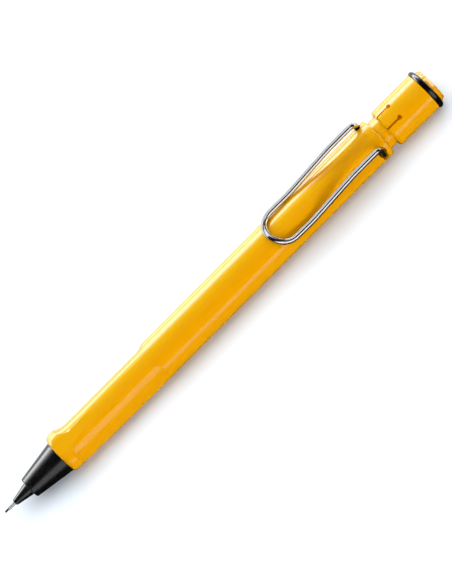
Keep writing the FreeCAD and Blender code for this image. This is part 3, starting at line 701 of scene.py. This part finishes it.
    def air(self) -> None:
        """Make the world: pale to the camera, a soft fill, and all but dark to reflections."""
        world = bpy.data.worlds.new("studio")
        bpy.context.scene.world = world
        world.use_nodes = True
        tree = world.node_tree
        ray = tree.nodes.new("ShaderNodeLightPath")
        camera = Value(tree, ray.outputs["Is Camera Ray"])
        diffuse = Value(tree, ray.outputs["Is Diffuse Ray"])
        strength = camera * self.backdrop + diffuse * self.fill + self.glint
        tree.links.new(strength.socket, tree.nodes["Background"].inputs["Strength"])
        tree.nodes["Background"].inputs["Color"].default_value = (*self.sky, 1.0)
        bpy.context.scene.view_settings.view_transform = "Standard"


class Bench:
    """The modelling moves that the pieces share, on one mesh at a time in edit mode."""

    def __init__(
        self,
        name: str,
        radius: float,
        centre: Vector,
        normal: Vector,
        sides: int,
    ) -> None:
        """Start a mesh as one open ring.

        Args:
            name: the piece's name.
            radius: the ring's radius.
            centre: the ring's middle.
            normal: the direction that the ring faces.
            sides: how many corners it has.
        """
        if bpy.context.object and bpy.context.object.mode == "EDIT":
            bpy.ops.object.mode_set(mode="OBJECT")
        bpy.ops.object.select_all(action="DESELECT")
        turn = normal.to_track_quat("Z", "Y").to_euler()
        bpy.ops.mesh.primitive_circle_add(
            vertices=sides, radius=radius, location=centre, rotation=turn
        )
        self.piece = bpy.context.object
        self.piece.name = self.piece.data.name = name
        bpy.ops.object.transform_apply(location=True, rotation=True, scale=True)
        bpy.ops.object.mode_set(mode="EDIT")
        bpy.ops.mesh.select_all(action="SELECT")

    def pull(self, move: Vector) -> None:
        """Extrude the selected ring along a move."""
        bpy.ops.mesh.extrude_region_move(TRANSFORM_OT_translate={"value": move})

    def swing(self, centre: Vector, axis: Vector, angle: float, steps: int) -> None:
        """Sweep the selected ring round an axis, by the right-hand rule.

        Args:
            centre: a point on the axis.
            axis: the axis.
            angle: how far, in radians.
            steps: how many rings it takes.
        """
        bpy.ops.mesh.spin(steps=steps, angle=angle, center=centre, axis=-axis, use_auto_merge=False)

    def spread(self, share: float, centre: Vector) -> None:
        """Scale the selected ring across the pencil's axis."""
        bpy.ops.transform.resize(value=(1.0, share, share), center_override=centre)

    def cap(self) -> None:
        """Close the selected ring with a fan of faces."""
        bpy.ops.mesh.edge_face_add()
        bpy.ops.mesh.poke()

    def leave(self, smooth: float = 30.0) -> None:
        """Merge what meets, face it outwards and go back to object mode.

        Args:
            smooth: edges sharper than this stay sharp, in degrees.
        """
        bpy.ops.mesh.select_all(action="SELECT")
        bpy.ops.mesh.remove_doubles(threshold=1e-7)
        bpy.ops.mesh.normals_make_consistent(inside=False)
        bpy.ops.object.mode_set(mode="OBJECT")
        bpy.ops.object.shade_smooth_by_angle(angle=math.radians(smooth))

    def soften(self, width: float, limit: float) -> None:
        """Round the sharp edges and shade the rest smooth.

        Args:
            width: how wide each round is, in mm.
            limit: the edges that are rounded turn by more than this, in radians.
        """
        settings = {
            "width": width * MM,
            "segments": 3,
            "limit_method": "ANGLE",
            "angle_limit": limit,
        }
        self.modify("BEVEL", settings)
        bpy.ops.object.shade_smooth_by_angle(angle=SMOOTH_BELOW)

    def modify(self, kind: str, settings: dict[str, object]) -> None:
        """Add a modifier, set it and apply it.

        Args:
            kind: the modifier's type.
            settings: its properties.
        """
        modifier = self.piece.modifiers.new(kind.lower(), kind)
        for name, value in settings.items():
            setattr(modifier, name, value)
        bpy.context.view_layer.objects.active = self.piece
        bpy.ops.object.modifier_apply(modifier=modifier.name)


@dataclass
class Axis:
    """The pencil's axis: stations run along it from the lead tip."""

    tip: float
    height: float

    def at(self, station: float) -> Vector:
        """The point on the axis at a station in mm."""
        return Vector((self.tip + station * MM, 0.0, self.height))

    def turn(
        self,
        name: str,
        outline: list[tuple[float, float]],
        sides: int = 96,
        edge: float = 0.04,
    ) -> bpy.types.Object:
        """Turn a closed outline: a ring that is pulled and spread from corner to corner.

        Args:
            name: the piece's name.
            outline: (station, radius) corners in mm, in order round the section.
            sides: how many sides the rings have.
            edge: the round put on each sharp edge, in mm.

        Returns:
            The piece.
        """
        station, radius = outline[0]
        bench = Bench(name, radius * MM, self.at(station), Vector((1, 0, 0)), sides)
        for next_station, next_radius in outline[1:] + outline[:1]:
            bench.pull(Vector(((next_station - station) * MM, 0, 0)))
            bench.spread(next_radius / radius, self.at(next_station))
            station, radius = next_station, next_radius
        bench.leave()
        bench.soften(edge, TURNED_CORNER)
        return bench.piece


@dataclass
class Tip:
    """The big cone, the small cone, the lead pipe and the lead."""

    axis: Axis
    finishes: Finishes
    cone_front: float = 7.90
    cone_rear: float = 18.20
    cone_shank: float = 27.15
    pipe_front: float = 1.04
    nozzle_front: float = 3.13
    nozzle_foot: tuple[float, float] = (8.60, 11.90)
    nozzle_bore: tuple[float, float] = (3.22, 0.45)
    lead_way: float = 0.36
    retainer_way: float = 1.25
    pipe_depth: float = 3.2
    pipe_bore: float = 0.28
    pipe_outside: float = 0.43
    lead_radius: float = 0.25
    lead_end: float = 58.0
    pole: float = 0.02
    thread_pitch: float = 1.2
    thread_crest: float = 3.65
    thread_root: float = 3.47

    def big_cone(self) -> bpy.types.Object:
        """The satin cone, hollow, with a shank whose ring grooves stand for its thread.

        Returns:
            The cone.
        """
        thread = []
        station = self.cone_shank - 1.0
        while station > self.cone_rear + 1.6:
            thread += [
                (station, self.thread_crest),
                (station - 0.35, self.thread_root),
                (station - 0.75, self.thread_root),
            ]
            station -= self.thread_pitch
        outline = [
            (self.cone_front, 1.77),
            (self.cone_front + 0.65, 1.77),
            (self.cone_front + 0.65, 1.95),
            (14.15, 1.95),
            (14.15, 2.25),
            (16.40, 2.25),
            (16.40, 3.07),
            (self.cone_shank, 3.07),
            (self.cone_shank, 3.50),
            (self.cone_shank - 0.3, self.thread_crest),
            *thread,
            (self.cone_rear, self.thread_crest),
            (self.cone_rear, 4.275),
            (self.cone_front + 0.346, 2.801),
            (self.cone_front + 0.190, 2.745),
            (self.cone_front + 0.074, 2.640),
            (self.cone_front + 0.010, 2.520),
            (self.cone_front, 2.400),
        ]
        piece = self.axis.turn("front_cone_turned", outline, 128)
        return settle(piece, self.finishes, "front_cone", "black_satin", "tip_cone")

    def small_cone(self) -> bpy.types.Object:
        """The glossy cone with the foot that holds it.

        Returns:
            The cone.
        """
        front, rear = self.nozzle_foot
        deep, wide = self.nozzle_bore
        outline = [
            (self.nozzle_front, wide),
            (self.nozzle_front + deep, wide),
            (self.nozzle_front + deep, self.lead_way),
            (front, self.lead_way),
            (front, self.retainer_way),
            (rear, self.retainer_way),
            (rear, 1.93),
            (front, 1.93),
            (front, 1.75),
            (self.cone_front, 1.75),
            (self.nozzle_front + 0.12, 0.824),
            (self.nozzle_front + 0.035, 0.780),
            (self.nozzle_front, 0.690),
        ]
        piece = self.axis.turn("nozzle_turned", outline)
        return settle(piece, self.finishes, "nozzle", "black_gloss", "tip_unit")

    def pipe(self) -> bpy.types.Object:
        """The thin steel pipe, its end rolled round.

        Returns:
            The pipe.
        """
        front = self.pipe_front
        outline = [
            (front, self.pipe_bore),
            (self.nozzle_front + self.pipe_depth, self.pipe_bore),
            (self.nozzle_front + self.pipe_depth, self.pipe_outside),
            (front + 0.09, self.pipe_outside),
            (front + 0.025, 0.405),
            (front, 0.35),
        ]
        piece = self.axis.turn("lead_pipe_drawn", outline, 64, 0.015)
        return settle(piece, self.finishes, "lead_pipe", "pipe_steel", "tip_unit")

    def lead(self) -> bpy.types.Object:
        """The lead, with a worn point.

        Returns:
            The lead.
        """
        outline = [
            (0.0, self.pole),
            (0.0, 0.12),
            (0.03, 0.175),
            (0.12, self.lead_radius),
            (self.lead_end, self.lead_radius),
            (self.lead_end, self.pole),
        ]
        piece = self.axis.turn("writing_lead_worn", outline, 48, 0.01)
        return settle(piece, self.finishes, "writing_lead", "graphite", "lead_unit")

    def build(self) -> list[bpy.types.Object]:
        """Make every piece of the tip."""
        return [self.big_cone(), self.small_cone(), self.pipe(), self.lead()]


@dataclass
class Bend:
    """One corner of the wire's path, in mm: its place from the axis, and its bend radius."""

    station: float
    out: float
    height: float
    radius: float = 0.0


@dataclass
class Clip:
    """The pocket clip: one bright wire, bent, with its two hooked ends in the collar."""

    axis: Axis
    finishes: Finishes
    wire: float = 0.725
    leg_out: float = 4.40
    top: float = 6.40
    hook_station: float = 120.5
    hook_height: float = 0.70
    end_round: float = 0.12
    sides: int = 40
    fewest_steps: int = 6
    step_degrees: float = 4.0

    def path(self) -> list[Bend]:
        """The corners from the middle of the turned end to one hook."""
        return [
            Bend(88.30, 0.0, 5.966),
            Bend(88.30, 1.817, 5.966, 4.3),
            Bend(90.883, self.leg_out, 4.259, 4.3),
            Bend(98.40, self.leg_out, 3.975, 14.0),
            Bend(112.0, self.leg_out, self.top, 18.0),
            Bend(self.hook_station, self.leg_out, self.top, 2.3),
            Bend(self.hook_station, self.leg_out, self.hook_height, 0.9),
            Bend(self.hook_station, 2.85, self.hook_height),
        ]

    def point(self, bend: Bend) -> Vector:
        """A corner's place in metres."""
        return self.axis.at(bend.station) + Vector((0, bend.out, bend.height)) * MM

    def wire_loop(self) -> bpy.types.Object:
        """The wire: half of it is pulled and swung along the path, and mirrored.

        Returns:
            The wire.
        """
        bends = self.path()
        corners = [self.point(bend) for bend in bends]
        here = corners[0]
        bench = Bench("pocket_clip_bent", self.wire * MM, here, Vector((0, 1, 0)), self.sides)
        for number in range(1, len(corners) - 1):
            before = (corners[number] - corners[number - 1]).normalized()
            after = (corners[number + 1] - corners[number]).normalized()
            angle = before.angle(after)
            radius = bends[number].radius * MM
            start = corners[number] - before * radius * math.tan(angle / 2)
            bench.pull(start - here)
            inward = (after - before * after.dot(before)).normalized()
            steps = max(self.fewest_steps, round(math.degrees(angle) / self.step_degrees))
            bench.swing(start + inward * radius, before.cross(after), angle, steps)
            here = corners[number] + after * radius * math.tan(angle / 2)
        bench.pull(corners[-1] - here)
        bench.cap()
        bench.leave(smooth=40.0)
        mirror = {"use_axis": (False, True, False), "use_clip": True, "merge_threshold": 1e-6}
        bench.modify("MIRROR", mirror)
        bench.soften(self.end_round, CUT_CORNER)
        return settle(bench.piece, self.finishes, "pocket_clip", "clip_wire", "clip")

    def build(self) -> list[bpy.types.Object]:
        """Make the clip."""
        return [self.wire_loop()]


@dataclass
class ButtonEnd:
    """The rubber ring round the push button."""

    axis: Axis
    finishes: Finishes
    station: float = 138.10
    outside: float = 5.50
    section: float = 0.78
    corners: int = 40

    def ring(self) -> bpy.types.Object:
        """The moulded ring, round in section.

        Returns:
            The ring.
        """
        outline = []
        middle = self.outside - self.section
        for number in range(self.corners):
            angle = 2 * math.pi * (number + 0.5) / self.corners
            station = self.station + self.section * math.sin(angle)
            outline.append((station, middle + self.section * math.cos(angle)))
        piece = self.axis.turn("button_ring_moulded", outline, 128, 0.01)
        return settle(piece, self.finishes, "button_ring", "ring_rubber", "button_cap")

    def build(self) -> list[bpy.types.Object]:
        """Make the ring."""
        return [self.ring()]


def settle(
    piece: bpy.types.Object,
    finishes: Finishes,
    node: str,
    slot: str,
    body: str,
) -> bpy.types.Object:
    """Dress a piece, put it on its body and let it stand for its node.

    Args:
        piece: the new piece.
        finishes: the finishes.
        node: the CAD node that it replaces.
        slot: its finish.
        body: the body that it rides on.

    Returns:
        The piece.
    """
    finishes.dress(piece, slot)
    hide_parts(node)
    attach(piece, body)
    return piece


def main() -> None:
    """Build every piece, dress it and set the studio."""
    logging.basicConfig(level=logging.INFO, format="%(message)s")
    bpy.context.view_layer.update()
    lead_low, lead_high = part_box("writing_lead")
    axis = Axis(lead_low.x, (lead_low.z + lead_high.z) / 2)
    finishes = Finishes()
    for part in frame["record"]["subparts"]:
        finishes.dress(frame["nodes"][part["node"]], part["material_slot"])
        LOG.info("%s is dressed in %s", part["node"], part["material_slot"])
    for assembly in (Tip(axis, finishes), Clip(axis, finishes), ButtonEnd(axis, finishes)):
        for piece in assembly.build():
            LOG.info("%s is built with %d faces", piece.name, len(piece.data.polygons))
    studio = Studio()
    studio.lights()
    studio.air()
    studio.floor()
    studio.camera(axis.height)


if __name__ == "__main__":
    main()
